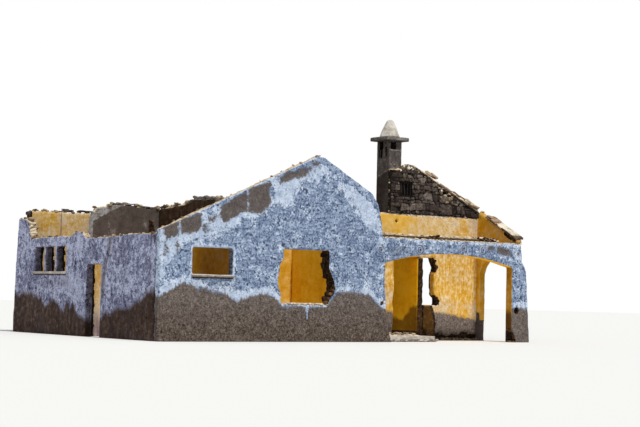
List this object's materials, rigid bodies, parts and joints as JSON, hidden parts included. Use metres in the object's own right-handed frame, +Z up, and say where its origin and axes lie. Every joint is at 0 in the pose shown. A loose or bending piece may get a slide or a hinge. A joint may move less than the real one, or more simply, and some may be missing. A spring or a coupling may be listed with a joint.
{
  "type": "adobe house",
  "caption": "Roofless one-storey masonry house ruin with a gabled front, a long side wing, an arched porch and a square chimney with a conical cap.",
  "frame": {"origin": "centre of the bounding box at ground level", "axes": "+X along the front towards the porch, +Y inwards from the front, +Z up"},
  "size_m": [14.445, 9.3, 7.265],
  "materials": {
    "limewash": "matte",
    "wing_render": "matte",
    "porch_wash": "matte",
    "pier_render": "matte",
    "ochre_plaster": "matte",
    "bare_render": "matte",
    "rubble_stone": "rough",
    "concrete": "rough",
    "lime_mortar": "matte",
    "chimney_render": "matte",
    "outer_render": "matte",
    "roof_tile": "matte",
    "weathered_wood": "matte",
    "broken_block": "rough"
  },
  "bodies": {
    "root": {"front_wall": "limewash", "front_window_sill": "concrete", "wing_wall_front": "wing_render", "wing_door_lintel": "wing_render", "wing_wall_rear": "wing_render", "wing_window_post_front": "wing_render", "wing_window_post_rear": "wing_render", "wing_window_sill": "concrete", "wing_end_wall": "ochre_plaster", "wing_cross_wall": "bare_render", "wing_partition": "bare_render", "room_rear_wall": "ochre_plaster", "room_side_wall": "ochre_plaster", "arch_wall": "porch_wash", "arch_ledge": "concrete", "arch_boss_left": "porch_wash", "arch_boss_mid": "porch_wash", "arch_boss_right": "porch_wash", "arch_boss_end": "porch_wash", "corner_pier": "pier_render", "side_arch_wall": "ochre_plaster", "side_pier": "ochre_plaster", "shed_verge": "lime_mortar", "porch_back_wall": "ochre_plaster", "porch_upper_wall": "ochre_plaster", "porch_jamb_wall": "ochre_plaster", "recess_side_wall": "ochre_plaster", "hearth_slab": "concrete", "rubble_gable": "rubble_stone", "attic_shutter": "weathered_wood", "attic_window_frame": "concrete", "gable_verge_upper": "lime_mortar", "gable_verge_lower": "lime_mortar", "side_wall": "outer_render", "block_rear_wall": "outer_render", "porch_floor": "concrete", "chimney_shaft": "chimney_render", "chimney_slab": "concrete", "chimney_cone": "lime_mortar"}
  },
  "joints": []
}
